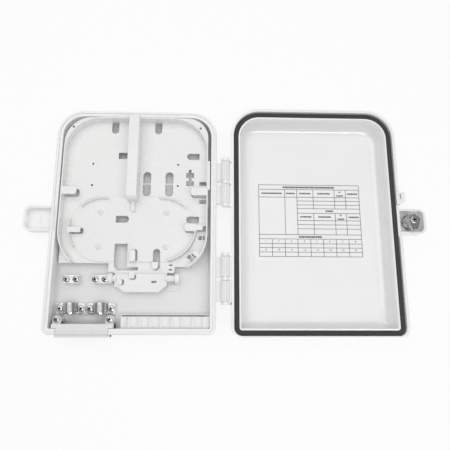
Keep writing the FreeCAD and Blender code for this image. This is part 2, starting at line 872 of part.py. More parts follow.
def shared_windows(z0, z1):
    """Slots that go through the cassette and the tray's plate alike."""
    slots = []
    y = cassette_y + low_slot_up
    x0 = channel_x - low_slot_x
    x1 = tray_x1 - low_slot_wall
    slots.append(cross_slot(x0, x0 + slot_l, y, z0, z1, "right"))
    slots.append(cross_slot(x1 - slot_l, x1, y, z0, z1, "left"))
    x0 = channel_x - neck_window_x
    x1 = x0 + neck_window_w
    foot = channel_x + neck_window_foot
    y0 = neck_y + neck_window_up
    y1 = y0 + neck_window_foot_h
    top = neck_y + neck_window_top
    slots.append(prism([
        (x0, y0 + neck_window_slant, 0),
        (x0 + neck_window_corner, y0, 0),
        (foot, y0, 0),
        (foot, y1, 0),
        (x1, y1, 0),
        (x1, top, 0),
        (x0, top, 0),
    ], z0, z1))
    x = channel_x + guide_window_x
    y0 = neck_y + guide_window_up
    slots.append(slab(x - slot_w / 2, x + slot_w / 2, y0, y0 + guide_window_l, z0, z1, slot_w * slot_round))
    window_left = cassette_x0 + guide_window_in
    window_right = cassette_x1 - guide_window_in
    slots.append(finger_plan(window_left, guide_tip_left + guide_window_past, guide_left_y, guide_w, z0, z1))
    slots.append(finger_plan(window_right, guide_tip_right, guide_right_y, finger_w, z0, z1))
    hook_x1 = hook_in_x0 + hook_w + hook_window_past
    hook_y1 = hook_in_y + hook_in_l + hook_window_past
    slots.append(slab(hook_in_x0 + tray_wall, hook_x1, hook_in_y + tray_wall, hook_y1, z0, z1,
                      hook_r, ("high",)))
    return slots


def bridged_slot(x, y0, z0, z1):
    """Two cutters in a row for a long slot with a bridge across its middle."""
    x0 = x - long_slot_w / 2
    x1 = x + long_slot_w / 2
    radius = long_slot_w * long_slot_round
    half = (long_slot_l - bridge_w) / 2
    lower = slab(x0, x1, y0, y0 + half, z0, z1, radius, ("low",))
    upper = slab(x0, x1, y0 + half + bridge_w, y0 + long_slot_l, z0, z1, radius, ("high",))
    return [lower, upper]


def corner_finger_place(shape):
    """Turn a shape drawn along X from the lower right arc's centre into its place."""
    centre = V(tray_x1 - tray_r_right, low + tray_right_turn, 0)
    shape.translate(centre)
    shape.rotate(centre, V(0, 0, 1), corner_finger_angle)
    return shape


def corner_windows(z0, z1):
    """A square window with a slit outside it, and a slit along the slanting finger."""
    x0 = tray_r_right - tray_wall - corner_pane_in
    x1 = x0 + corner_pane
    y0 = -corner_pane_off
    y1 = y0 + corner_pane
    pane = box(x0, x1, y0, y1, z0, z1)
    slit_x0 = x1 + corner_bridge
    slit_x1 = slit_x0 + corner_slit_w
    outer = box(slit_x0, slit_x1, y0, y1, z0, z1)
    beside_y1 = corner_finger_off
    beside = box(slit_x1 - corner_slit_l, slit_x1, beside_y1 - corner_slit_w, beside_y1, z0, z1)
    return [corner_finger_place(shape) for shape in (pane, outer, beside)]


def tray_windows(z0, z1):
    """Slots and holes in the tray's plate."""
    slots = shared_windows(z0, z1)
    y1 = tray_y1 - tray_wall
    for x in pair(channel_x, 2 * top_slot_apart):
        slots.append(slab(x - top_slot_w / 2, x + top_slot_w / 2, y1 - top_slot_l, y1, z0, z1,
                          top_slot_w * slot_round, ("low",)))
    y = tray_y1 - high_slot_down
    x0 = channel_x - high_slot_x
    x1 = tray_x1 - high_slot_wall
    slots.append(cross_slot(x0, x0 + slot_l, y, z0, z1, "right"))
    slots.append(cross_slot(x1 - slot_l, x1, y, z0, z1, "left"))
    x_last = channel_x + long_slot_first + long_slot_pitch
    for x in (x_last - long_slot_pitch, x_last):
        slots += bridged_slot(x, cassette_y + cassette_h / 2 + long_slot_up, z0, z1)
    for x in (channel_x - pin_hole_left, channel_x + pin_hole_right):
        for k in (0, 1):
            slots.append(upright(x, tray_y1 - pin_hole_down - k * pin_hole_pitch, pin_hole_r, z0, z1))
    x = (x_last + tray_x1) / 2 + cross_off
    y = tray_y1 - cross_down
    arm_y = y + cross_l / 2 - cross_arm_in - cross_arm_l / 2
    foot_y = y - cross_l / 2 + cross_arm_l / 2
    slots.append(pad(x, y, cross_w, cross_l, z0, z1))
    slots.append(pad(x, arm_y, cross_arm_w, cross_arm_l, z0, z1))
    slots.append(pad(x, foot_y, cross_arm_w, cross_arm_l, z0, z1))
    x1 = tray_x1 - tray_wall
    for k in (0, 1):
        y = tray_y1 - side_window_down - k * side_window_pitch
        slots.append(box(x1 - side_window_w, x1, y - side_window_h / 2, y + side_window_h / 2, z0, z1))
    x1 = tray_x1 - low_window_wall
    y = low + low_window_up
    slots.append(box(x1 - low_window_out_w, x1, y, y + side_window_h, z0, z1))
    x1 -= low_window_out_w + corner_bridge
    slots.append(box(x1 - low_window_w, x1, y, y + side_window_h, z0, z1))
    x = channel_x + tie_slot_x
    for k in (0, 1):
        y = neck_y + tie_slot_up + k * tie_slot_pitch
        slots.append(box(x, x + tie_slot_l, y, y + tie_slot_w, z0, z1))
    y = low + finger_up
    slots.append(finger_plan(tray_x0 + tray_wall, tray_x0 + finger_left_l, y, finger_w, z0, z1))
    slots.append(finger_plan(tray_x1 - tray_wall, tray_x1 - finger_right_l, y, finger_w, z0, z1))
    slots.append(box(cassette_x1 + guide_root, tray_x1 - tray_wall,
                     guide_right_y - guide_w / 2, guide_right_y + guide_w / 2, z0, z1))
    return slots + corner_windows(z0, z1)


def tray_plate_solid():
    """Flat plate of the tray, wider than its wall at the top corners."""
    z0 = tray_floor_z - past
    z1 = plate_top + past
    foot_y = low + tray_right_turn - tray_r_right
    plate = prism([
        (tray_x0, foot_y, 0),
        (tray_x1, foot_y, tray_r_right),
        (tray_x1, tray_y1, ear_r_right),
        (tray_x0, tray_y1, ear_r_left),
    ], tray_floor_z, plate_top)
    neck_x0 = left + neck_left
    neck_x1 = left + neck_right
    trims = [
        box(tray_x0 - past, neck_x0, foot_y - past, low + tray_left_low, z0, z1),
        box(neck_x1, tray_x1 + past, foot_y - past, low + tray_right_low, z0, z1),
        box(neck_x0 - past, neck_x1 + past, foot_y - past, neck_y, z0, z1),
    ]
    return cut(plate, trims + tray_windows(z0, z1))


def tray_ears():
    """Blocks that fill the top corners between the plate's outline and the wall."""
    foot_y = tray_y1 - tray_r_top
    block = prism([
        (tray_x0, foot_y, 0),
        (tray_x1, foot_y, 0),
        (tray_x1, tray_y1, ear_r_right),
        (tray_x0, tray_y1, ear_r_left),
    ], plate_top, ear_top)
    return block.cut(prism(tray_outline(tray_wall), plate_top, ear_top))


def pivot_tongue():
    """Tongue below the neck with its rib, its holes, two rounded tabs and the two shafts."""
    tip_y = low + tongue_low
    shoulder = tip_y + tongue_chamfer
    top = neck_y + pivot_rib_w
    plate = prism([
        (tongue_x0, top, 0),
        (tongue_x0, shoulder + tongue_left_rise, 0),
        (tongue_x0 + tongue_left_step, shoulder, 0),
        (left + tongue_tip_left, tip_y, 0),
        (left + tongue_tip_right, tip_y, 0),
        (tongue_x1 - tongue_right_step, shoulder, 0),
        (tongue_x1, shoulder + tongue_right_rise, 0),
        (tongue_x1, top, 0),
    ], tray_floor_z, plate_top)
    rib_top = plate_top + pivot_rib_h
    rib = box(tongue_x0 - pivot_rib_left, left + neck_right - pivot_rib_right,
              neck_y - pivot_rib_w / 2, neck_y + pivot_rib_w / 2, tray_floor_z, rib_top)
    left_shaft = along_x(pivot_y, pivot_z, pivot_r, bracket_left, tongue_x0 + shaft_root)
    right_shaft = along_x(pivot_y, pivot_z, pivot_r, tongue_x1 - shaft_root, bracket_right + bracket_t)
    solid = fuse([plate, rib, left_shaft, right_shaft])
    z0 = tray_floor_z - past
    z1 = plate_top + past
    x = channel_x + half_hole_x
    y = pivot_y - half_hole_low
    half_hole = slab(x - half_hole_w / 2, x + half_hole_w / 2, y, y + half_hole_l, z0, z1, half_hole_r)
    x = channel_x - side_hole_x
    y = pivot_y - side_hole_low
    side_hole = slab(x - side_hole_w / 2, x + side_hole_w / 2, y, y + side_hole_l, z0, z1,
                     side_hole_r, ("right",))
    x = channel_x + thin_slot_x
    y = pivot_y - thin_slot_low
    thin_slot = box(x - thin_slot_l / 2, x + thin_slot_l / 2, y, y + thin_slot_w, z0, z1)
    x = channel_x + half_tab_x
    half_tab = slab(x - half_tab_w / 2, x + half_tab_w / 2, pivot_y - half_tab_low, neck_y,
                    rib_top - finger_t, rib_top, half_tab_r, ("low",))
    x = channel_x - side_tab_x
    y = pivot_y - side_hole_low
    side_tab = slab(x, x + side_tab_l, y, y + side_hole_l, rib_top - finger_t, rib_top,
                    side_hole_r, ("right",))
    side_foot = box(x, x + tray_wall, y, y + side_hole_l, tray_floor_z, rib_top)
    return fuse([cut(solid, [half_hole, side_hole, thin_slot]), half_tab, side_tab, side_foot])


def fibre_tray():
    wall = prism(tray_outline(0), plate_top, wall_top)
    wall = wall.cut(prism(tray_outline(tray_wall), plate_top, wall_top))
    gate_y = low + tray_right_turn - tray_wall
    wall = wall.cut(box(left + wall_end_left, right - wall_end_right, low, gate_y, plate_top, wall_top))
    pieces = [tray_plate_solid(), wall, tray_ears(), pivot_tongue()]
    y = low + finger_up
    pieces.append(finger(tray_x0 + tray_wall / 2, tray_x0 + finger_left_l, y, wall_top, finger_w))
    pieces.append(finger(tray_x1 - tray_wall / 2, tray_x1 - finger_right_l, y, wall_top, finger_w))
    wall_r = tray_r_right - tray_wall / 2
    slanting = box(wall_r - corner_finger_l, wall_r, corner_finger_off, corner_finger_off + corner_finger_w,
                   wall_top - finger_t, wall_top)
    pieces.append(corner_finger_place(slanting))
    hook_y = cassette_y - cassette_h / 2 - 2 * channel_gap
    pieces += guide_hook(channel_x + hook_neck_x, hook_y - hook_neck_l, hook_y, tray_floor_z,
                         cassette_top + cassette_rib_h, "low")
    lug = slab(tray_x1 - tray_wall / 2, tray_x1 + lug_out, lug_y0, lug_y0 + lug_l, ear_top - lug_h, ear_top,
               lug_r, ("right",))
    pieces.append(lug)
    holes = [upright(x, y, ear_hole_r, tray_floor_z, ear_top) for x, y in ears]
    return cut(fuse(pieces), holes)


def splice_cassette():
    radius = cassette_h / 2
    y0 = cassette_y - radius
    y1 = cassette_y + radius
    end_left = cassette_x0 + radius
    end_right = cassette_x1 - radius
    middle = box(end_left, end_right, y0, y1, plate_top, cassette_top)
    ends = [upright(x, cassette_y, radius, plate_top, cassette_top) for x in (end_left, end_right)]
    inner = radius - cassette_rib_in
    edge = radius - cassette_edge_in
    top = cassette_top + cassette_rib_h
    tall = cassette_top + cassette_guide_h
    pieces = [
        fuse([middle] + ends),
        arc_rib(end_left, cassette_y, inner, rib_left_start, rib_sweep, plate_top, top),
        arc_rib(end_right, cassette_y, inner, rib_right_start, rib_sweep, plate_top, top),
        arc_rib(end_left, cassette_y, edge, edge_left_start, edge_left_sweep, plate_top, tall),
        arc_rib(end_right, cassette_y, edge, edge_right_start, edge_right_sweep, plate_top, tall),
    ]
    root_left = cassette_x0 + guide_root
    root_right = cassette_x1 - guide_root
    pieces.append(finger(root_left, guide_tip_left, guide_left_y, tall, guide_w))
    pieces.append(finger(root_right, guide_tip_right, guide_right_y, tall, finger_w))
    pieces.append(finger(root_right, cassette_x1 + guide_out_l, guide_right_y, tall, guide_w))
    for x in pair((cassette_x0 + cassette_x1) / 2, 2 * boss_dx):
        for y in pair(cassette_y - boss_down, 2 * boss_dy):
            pieces.append(upright(x, y, boss_r, plate_top, cassette_top + boss_h))
            pieces.append(upright(x, y, boss_pin_r, plate_top, cassette_top + boss_pin_h))
    pieces += guide_hook(hook_in_x0, hook_in_y, hook_in_y + hook_in_l, plate_top,
                         cassette_top + cassette_rib_h, "high")
    return cut(fuse(pieces), shared_windows(plate_top - past, cassette_top))


def fibre_channel():
    x0 = channel_x - channel_w / 2
    x1 = channel_x + channel_w / 2
    y1 = tray_y1 - tray_wall - channel_gap
    nose_y = channel_y0 - channel_nose
    top = plate_top + channel_h
    over_cassette = cassette_top + channel_gap
    body = box(x0, x1, nose_y, y1, plate_top, top)
    hook = box(x0, x1, y1 - past, tray_y1, wall_top + channel_gap, top)
    slope = end_profile([(nose_y, top - channel_slope), (channel_y0, top), (nose_y, top)], x0, x1)
    inside = box(x0 + channel_wall, x1 - channel_wall, channel_y0 + channel_wall, y1 - channel_wall,
                 plate_top, top - channel_wall)
    lift = box(x0, x1, nose_y, cassette_y + cassette_h / 2 + channel_gap, plate_top, over_cassette)
    thumb = slab(channel_x - thumb_w / 2, channel_x + thumb_w / 2, nose_y - thumb_l, nose_y + past,
                 over_cassette, over_cassette + thumb_h, thumb_w * thumb_round, ("low",))
    return fuse([cut(fuse([body, hook]), [inside, slope, lift]), thumb])


def strength_plate(x):
    y0 = strength_y - strength_w / 2
    y1 = strength_y + strength_w / 2
    plate = slab(x - strength_l / 2, x + strength_l / 2, y0, y1, strength_z, strength_seat, strength_r)
    return cut(plate, [screw_hole(screw_x, strength_y, strength_seat) for screw_x in pair(x, strength_pitch)])


def saddle_clamp(x):
    """Bent strap over one cable: two flat ears and an arch."""
    y0 = saddle_y - saddle_w / 2
    y1 = saddle_y + saddle_w / 2
    outer_r = cable_r + saddle_t
    arch_z = saddle_z + saddle_leg
    arch_top = arch_z + outer_r
    flat = box(x - saddle_reach, x + saddle_reach, y0, y1, saddle_z, saddle_seat)
    legs = box(x - outer_r, x + outer_r, y0, y1, saddle_z, arch_z)
    arch = along_y(x, arch_z, outer_r, y0, y1).common(box(x - outer_r, x + outer_r, y0, y1, arch_z, arch_top))
    hollow = along_y(x, arch_z, cable_r, y0, y1)
    under = box(x - cable_r, x + cable_r, y0, y1, saddle_z - past, arch_z)
    strap = cut(fuse([flat, legs, arch]), [hollow, under])
    plan = slab(x - saddle_reach, x + saddle_reach, y0, y1, saddle_z, arch_top, saddle_corner)
    holes = [screw_hole(screw_x, saddle_y, saddle_seat) for screw_x in pair(x, saddle_pitch)]
    return cut(strap.common(plan), holes)


def entry_body(z0, z1, wing_z0, lip_z1, lip_over):
    """Block through the notch of the lower wall, with wings inside and a lip outside."""
    x0 = notch_x0 + entry_gap
    x1 = notch_x1 - entry_gap
    y_in = low + entry_gap
    y_out = low - (rim_out - base_in) - entry_gap
    neck = box(x0, x1, y_out, y_in + entry_flange_in, z0, z1)
    wings = box(notch_x0 - entry_wing, notch_x1 + entry_wing, y_in, y_in + entry_flange_in, wing_z0, z1)
    lip = box(x0 - lip_over, x1 + lip_over, y_out - entry_flange_out, y_out, z0, lip_z1)
    return fuse([neck, wings, lip])


def cable_entry_clamp():
    under_skirt = base_depth - skirt_h - 2 * entry_gap
    body = entry_body(entry_ear_z, ledge_z, entry_ear_z, under_skirt, entry_lip_over)
    room = box(notch_x0 + entry_gap, notch_x1 - entry_gap, outside, low, ledge_z, base_depth)
    ridge = seal_band(tongue_w / 2, -tongue_w / 2, ledge_z, base_depth).common(room)
    pieces = [body, ridge]
    for x in entry_screw_xs:
        pieces.append(slab(x - entry_ear_r, x + entry_ear_r, low + entry_gap, entry_screw_y + entry_ear_r,
                           entry_ear_z, entry_seat, entry_ear_round, ("high",)))
    return cut(fuse(pieces), [screw_hole(x, entry_screw_y, entry_seat) for x in entry_screw_xs])


def cable_entry_seal():
    seal_z = notch_z + entry_gap
    body = entry_body(seal_z, entry_split, base_floor + base_fillet, entry_split, 0)
    boss_room = entry_boss_r + entry_gap
    tools = [upright(x, entry_screw_y, boss_room, notch_z, entry_split) for x in entry_screw_xs]
    y0 = outside - entry_gap - entry_flange_out
    y1 = low + entry_gap + entry_flange_in
    tools += [along_y(x, seal_z + bore_up, bore_r, y0, y1) for x in cable_xs]
    return cut(body, tools)


def drop_comb():
    y0 = low + comb_gap
    y1 = y0 + comb_l
    step_z = base_floor + base_fillet
    corner = max(seal_r_bot + base_in, least_corner)
    plan = [(comb_x0, y0, 0), (comb_x1, y0, corner), (comb_x1, y1, 0), (comb_x0, y1, 0)]
    block = prism(plan, step_z, comb_top)
    foot = box(comb_x0, right - base_fillet, y0 + base_fillet, y1, base_floor, step_z)
    groove_z_axis = comb_top - groove_depth + groove_r
    slot_y1 = y1 - comb_back
    slot_y0 = slot_y1 - comb_slot_w
    tools = [along_y(x, groove_z_axis, groove_r, y0, slot_y0) for x in drop_xs]
    slot_z = comb_top - comb_slot_depth
    tools.append(box(comb_x0 + comb_back, comb_x1 - comb_back, slot_y0, slot_y1, slot_z, comb_top))
    tools.append(box(comb_x0, comb_x1, slot_y0, y1, comb_top - groove_depth, comb_top))
    return cut(fuse([block, foot]), tools)


def lock_sleeve():
    body = upright(lock_x, lock_y, sleeve_r, tab_under, cam_z - core_gap)
    head = upright(lock_x, lock_y, sleeve_head_r, tab_under - sleeve_head_t, tab_under)
    bore = upright(lock_x, lock_y, core_r + core_gap, tab_under - sleeve_head_t, cam_z)
    return fuse([body, head]).cut(bore)


def lock_nut():
    nut = regular_prism(lock_x, lock_y, nut_r, 6, tab_floor, tab_floor + nut_t)
    return nut.cut(upright(lock_x, lock_y, sleeve_r + sleeve_hole_gap, tab_floor, tab_floor + nut_t))


def lock_core():
    face_z = tab_under - sleeve_head_t - core_head_t
    half = cam_square / 2
    body = upright(lock_x, lock_y, core_r, face_z, cam_z)
    peg = box(lock_x - half, lock_x + half, lock_y - half, lock_y + half, cam_z - past, cam_top)
    key = regular_prism(lock_x, lock_y, key_side / math.sqrt(3), 3, face_z, face_z + key_depth)
    return cut(fuse([body, peg]), [key, screw_hole(lock_x, lock_y, cam_top)])


def lock_cam():
    plate = prism([
        (lock_x - cam_cheek, lock_y - cam_cheek_low, 0),
        (lock_x - cam_nose_left, lock_y - cam_nose, cam_corner),
        (lock_x + cam_nose_right, lock_y - cam_nose + cam_nose_slant, cam_corner),
        (lock_x + cam_back, lock_y + cam_back_up, cam_corner),
        (lock_x + cam_tip, lock_y + cam_back, cam_corner),
        (lock_x - cam_side, lock_y + cam_side_up, cam_side_r),
    ], cam_z, cam_top)
    half = cam_square / 2 + cam_square_gap
    return plate.cut(box(lock_x - half, lock_x + half, lock_y - half, lock_y + half, cam_z, cam_top))


export("base_housing", base_housing())
export("lid_cover", lid_cover())
export("lid_gasket", lid_gasket())
export("fibre_tray", fibre_tray())
export("splice_cassette", splice_cassette())
export("fibre_channel", fibre_channel())
for side, x in zip(("left", "right"), strength_xs):
    export("strength_clamp_%s" % side, strength_plate(x))
for side, x in zip(("left", "right"), cable_xs):
    export("saddle_clamp_%s" % side, saddle_clamp(x))
strength_screw_xs = pair(strength_xs[0], strength_pitch) + pair(strength_xs[1], strength_pitch)
saddle_screw_xs = pair(cable_xs[0], saddle_pitch) + pair(cable_xs[1], saddle_pitch)
export("strength_clamp_screws", screw_row(strength_screw_xs, strength_y, strength_seat))
export("saddle_clamp_screws", screw_row(saddle_screw_xs, saddle_y, saddle_seat))
export("cable_entry_clamp", cable_entry_clamp())
export("cable_entry_seal", cable_entry_seal())
export("cable_entry_screws", screw_row(entry_screw_xs, entry_screw_y, entry_seat))
export("drop_cable_comb", drop_comb())
export("lock_sleeve", lock_sleeve())
export("lock_nut", lock_nut())
export("lock_core", lock_core())
export("lock_cam", lock_cam())
export("cam_screw", screw(lock_x, lock_y, cam_top, cam_screw_r))
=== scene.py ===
import json
import math

import bmesh
import bpy
import numpy as np
from mathutils import Matrix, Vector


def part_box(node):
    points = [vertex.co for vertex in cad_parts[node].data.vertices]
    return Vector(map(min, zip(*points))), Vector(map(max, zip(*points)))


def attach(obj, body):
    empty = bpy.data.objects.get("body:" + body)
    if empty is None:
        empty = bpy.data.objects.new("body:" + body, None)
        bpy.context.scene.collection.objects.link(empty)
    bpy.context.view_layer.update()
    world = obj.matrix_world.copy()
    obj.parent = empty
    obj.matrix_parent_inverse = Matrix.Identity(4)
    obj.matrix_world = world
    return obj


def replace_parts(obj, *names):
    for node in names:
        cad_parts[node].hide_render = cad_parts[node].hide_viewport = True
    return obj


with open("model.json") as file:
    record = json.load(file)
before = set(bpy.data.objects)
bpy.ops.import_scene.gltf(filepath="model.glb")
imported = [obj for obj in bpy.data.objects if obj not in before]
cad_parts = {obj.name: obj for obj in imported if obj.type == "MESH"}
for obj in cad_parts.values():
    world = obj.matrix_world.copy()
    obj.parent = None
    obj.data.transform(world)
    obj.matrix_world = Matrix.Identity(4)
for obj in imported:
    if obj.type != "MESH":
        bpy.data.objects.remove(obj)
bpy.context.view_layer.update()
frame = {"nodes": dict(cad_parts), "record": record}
nodes = frame["nodes"]
mm = 0.001
slotOf = {entry["node"]: entry["material_slot"] for entry in frame["record"]["subparts"]}
bodies = frame["record"]["behaviour"]["bodies"]
bodyOf = {node: body for body, members in bodies.items() for node in members}
print("frame loaded,", len(nodes), "nodes")


# A new object for some data, put into the scene
def addObject(name, data):
    added = bpy.data.objects.new(name, data)
    bpy.context.scene.collection.objects.link(added)
    return added


# A math node whose inputs are plain numbers or other nodes' outputs
def mathNode(tree, operation, *values):
    node = tree.nodes.new("ShaderNodeMath")
    node.operation = operation
    for socket, value in zip(node.inputs, values):
        if isinstance(value, float):
            socket.default_value = value
        else:
            tree.links.new(value, socket)
    return node.outputs[0]


# Camera: almost straight down, tipped towards the top of the box
cameraSet = {
    "place": (92.26, -118.11, 539.8),   # mm
    "turn": (0.2101, -0.032, 0.0085),   # radians about X, Y and Z, taken in the order Z, Y, X
    "lens": 35.04,
    "sensor": 36.0,
}


def makeCamera():
    data = bpy.data.cameras.new("camera")
    data.lens = cameraSet["lens"]
    data.sensor_width = cameraSet["sensor"]
    camera = addObject("camera", data)
    camera.location = [v * mm for v in cameraSet["place"]]
    camera.rotation_mode = "ZYX"
    camera.rotation_euler = cameraSet["turn"]
    bpy.context.scene.camera = camera


makeCamera()
bpy.context.scene.view_settings.view_transform = "Standard"


# Light: a grey surround, a wide soft box over the base, a weak one over the lid, a long one in front of it
lightSet = {
    "surround": 0.54,
    "mirrored": 0.24,       # how bright the surround is in a gloss
    "boxes": (              # place and size in mm
        {"name": "softBox", "place": (-240, 330, 950), "size": (900, 860), "power": 2.6},
        {"name": "fillBox", "place": (450, 320, 950), "size": (480, 880), "power": 0.5},
        {"name": "frontBox", "place": (400, -330, 950), "size": (760, 200), "power": 2.5},
    ),
}


def makeLight():
    world = bpy.data.worlds.new("surround")
    bpy.context.scene.world = world
    world.use_nodes = True
    tree = world.node_tree
    back = tree.nodes["Background"]
    back.inputs["Color"].default_value = (1, 1, 1, 1)
    path = tree.nodes.new("ShaderNodeLightPath").outputs
    change = lightSet["mirrored"] - lightSet["surround"]
    level = mathNode(tree, "MULTIPLY_ADD", path["Is Glossy Ray"], change, lightSet["surround"])
    tree.links.new(level, back.inputs["Strength"])
    for box in lightSet["boxes"]:
        lamp = bpy.data.lights.new(box["name"], "AREA")
        lamp.shape = "RECTANGLE"
        lamp.size, lamp.size_y = [v * mm for v in box["size"]]
        lamp.energy = box["power"]
        addObject(box["name"], lamp).location = [v * mm for v in box["place"]]


makeLight()
print("camera and light set")


# Materials
noiseRange = (0.3, 0.7)     # where most of a noise's values lie
palest = 0.95               # no tone goes above this


def newMaterial(name):
    material = bpy.data.materials.new(name)
    material.use_nodes = True
    tree = material.node_tree
    return material, tree, tree.nodes["Principled BSDF"]


# Noise on the object's own coordinates, finer along the axes with a higher stretch
def objectNoise(tree, scale, detail=2.0, stretch=(1, 1, 1)):
    coords = tree.nodes.new("ShaderNodeTexCoord")
    mapping = tree.nodes.new("ShaderNodeMapping")
    mapping.inputs["Scale"].default_value = stretch
    noise = tree.nodes.new("ShaderNodeTexNoise")
    noise.inputs["Scale"].default_value = scale
    noise.inputs["Detail"].default_value = detail
    tree.links.new(coords.outputs["Object"], mapping.inputs["Vector"])
    tree.links.new(mapping.outputs["Vector"], noise.inputs["Vector"])
    return noise.outputs["Fac"]


# A tone that the noise takes from a darker to a paler share of itself
def toneRamp(tree, noise, tone, darker, paler):
    node = tree.nodes.new("ShaderNodeValToRGB")
    first, last = node.color_ramp.elements
    first.position, last.position = noiseRange
    first.color = (*[c * darker for c in tone], 1)
    last.color = (*[min(c * paler, palest) for c in tone], 1)
    tree.links.new(noise, node.inputs["Fac"])
    return node.outputs["Color"]


# A number that goes from one value to another as its source goes through a range
def span(tree, source, low, high, fromRange=noiseRange):
    node = tree.nodes.new("ShaderNodeMapRange")
    node.inputs["From Min"].default_value, node.inputs["From Max"].default_value = fromRange
    node.inputs["To Min"].default_value = low
    node.inputs["To Max"].default_value = high
    tree.links.new(source, node.inputs["Value"])
    return node.outputs["Result"]


# Roughness that the noise moves a little either way from a middle value
def linkGloss(tree, shader, noise, gloss, spread):
    rough = span(tree, noise, gloss + spread[0], gloss + spread[1])
    tree.links.new(rough, shader.inputs["Roughness"])


def addBump(tree, shader, noise, strength, depth):
    node = tree.nodes.new("ShaderNodeBump")
    node.inputs["Strength"].default_value = strength
    node.inputs["Distance"].default_value = depth * mm
    tree.links.new(noise, node.inputs["Height"])
    tree.links.new(node.outputs["Normal"], shader.inputs["Normal"])


# Moulded plastic: slow tone changes, slightly uneven gloss, a fine grain, a clear skin where it is polished
plasticSet = {
    "cloudScale": 22,
    "glossScale": 90,
    "glossSpread": (-0.04, 0.05),
    "grainScale": 2600,
    "grainDetail": 3,
    "grainDepth": 0.04,     # mm
    "ior": 1.5,
    "skinGloss": 0.07,
    "skinIor": 1.7,
}


def mouldedPlastic(name, tone, spread, gloss, grain, polish=0.0):
    material, tree, shader = newMaterial(name)
    clouds = objectNoise(tree, plasticSet["cloudScale"])
    tree.links.new(toneRamp(tree, clouds, tone, 1 - spread, 1 + spread), shader.inputs["Base Color"])
    patches = objectNoise(tree, plasticSet["glossScale"])
    linkGloss(tree, shader, patches, gloss, plasticSet["glossSpread"])
    fine = objectNoise(tree, plasticSet["grainScale"], plasticSet["grainDetail"])
    addBump(tree, shader, fine, grain, plasticSet["grainDepth"])
    shader.inputs["IOR"].default_value = plasticSet["ior"]
    shader.inputs["Coat Weight"].default_value = polish
    shader.inputs["Coat Roughness"].default_value = plasticSet["skinGloss"]
    shader.inputs["Coat IOR"].default_value = plasticSet["skinIor"]
    return material


# Base: painted shade, its plastic darker low in the box where shade falls and paler towards the rim
depthShadeSet = {"low": 6, "high": 17, "gain": 1.11}   # heights in mm


# Painted shade: the base colour is scaled by a gain that grows evenly from the low to the high level
def paleRim(material):
    tree = material.node_tree
    toneInput = tree.nodes["Principled BSDF"].inputs["Base Color"]
    coords = tree.nodes.new("ShaderNodeTexCoord")
    axes = tree.nodes.new("ShaderNodeSeparateXYZ")
    tree.links.new(coords.outputs["Object"], axes.inputs["Vector"])
    levels = (depthShadeSet["low"] * mm, depthShadeSet["high"] * mm)
    paler = tree.nodes.new("ShaderNodeVectorMath")
    paler.operation = "SCALE"
    tree.links.new(toneInput.links[0].from_socket, paler.inputs["Vector"])
    tree.links.new(span(tree, axes.outputs["Z"], 1.0, depthShadeSet["gain"], levels), paler.inputs["Scale"])
    tree.links.new(paler.outputs["Vector"], toneInput)


# Foamed rubber: fine dark pores and a dull skin
rubberSet = {
    "detail": 4,
    "darker": 0.75,
    "paler": 1.25,
    "gloss": (0.72, 0.9),
    "bump": 0.35,
    "depth": 0.2,           # mm
}


def foamRubber(name, tone, pores):
    material, tree, shader = newMaterial(name)
    grain = objectNoise(tree, pores, rubberSet["detail"])
    shades = toneRamp(tree, grain, tone, rubberSet["darker"], rubberSet["paler"])
    tree.links.new(shades, shader.inputs["Base Color"])
    tree.links.new(span(tree, grain, *rubberSet["gloss"]), shader.inputs["Roughness"])
    addBump(tree, shader, grain, rubberSet["bump"], rubberSet["depth"])
    return material


# Plated steel: brushed streaks along one direction, patchy gloss, painted shade where the recess attribute
# is high
steelSet = {
    "streakScale": 420,
    "streakDetail": 3,
    "darker": 0.86,
    "paler": 1.1,
    # colour of the painted shade in screw recesses
    "recessPaintedShade": (0.04, 0.04, 0.04, 1),
    "glossScale": 260,
    "glossSpread": (-0.06, 0.1),
    "bump": 0.12,
    "depth": 0.05,          # mm
}


def platedSteel(name, tone, gloss, stretch):
    material, tree, shader = newMaterial(name)
    streaks = objectNoise(tree, steelSet["streakScale"], steelSet["streakDetail"], stretch)
    shades = toneRamp(tree, streaks, tone, steelSet["darker"], steelSet["paler"])
    # Painted shade: the colour is mixed towards near-black where the recess attribute is high
    recess = tree.nodes.new("ShaderNodeAttribute")
    recess.attribute_name = "recess"
    recessPaintedShade = tree.nodes.new("ShaderNodeMixRGB")
    recessPaintedShade.inputs["Color2"].default_value = steelSet["recessPaintedShade"]
    tree.links.new(recess.outputs["Fac"], recessPaintedShade.inputs["Fac"])
    tree.links.new(shades, recessPaintedShade.inputs["Color1"])
    tree.links.new(recessPaintedShade.outputs["Color"], shader.inputs["Base Color"])
    patches = objectNoise(tree, steelSet["glossScale"])
    linkGloss(tree, shader, patches, gloss, steelSet["glossSpread"])
    addBump(tree, shader, streaks, steelSet["bump"], steelSet["depth"])
    shader.inputs["Metallic"].default_value = 1.0
    return material


# One finish for each material slot: a plastic's tone, its spread, gloss, grain and polish,
# a rubber's tone and how fine its pores are, a steel's tone, gloss and the stretch of its streaks
finish = {
    "housing_plastic": mouldedPlastic("whiteHousing", (0.942, 0.942, 0.938), 0.01, 0.2, 0.03, 1.0),
    "tray_plastic": mouldedPlastic("whiteTray", (0.88, 0.88, 0.876), 0.01, 0.28, 0.03),
    "comb_plastic": mouldedPlastic("whiteComb", (0.87, 0.87, 0.866), 0.012, 0.5, 0.06),
    "gasket_rubber": foamRubber("gasketFoam", (0.05, 0.05, 0.052), 1500),
    "seal_rubber": foamRubber("sealRubber", (0.05, 0.05, 0.052), 900),
    "clamp_steel": platedSteel("zincSteel", (0.72, 0.72, 0.73), 0.2, (1, 12, 1)),
    "lock_metal": platedSteel("lockSteel", (0.74, 0.74, 0.75), 0.16, (10, 1, 1)),
}
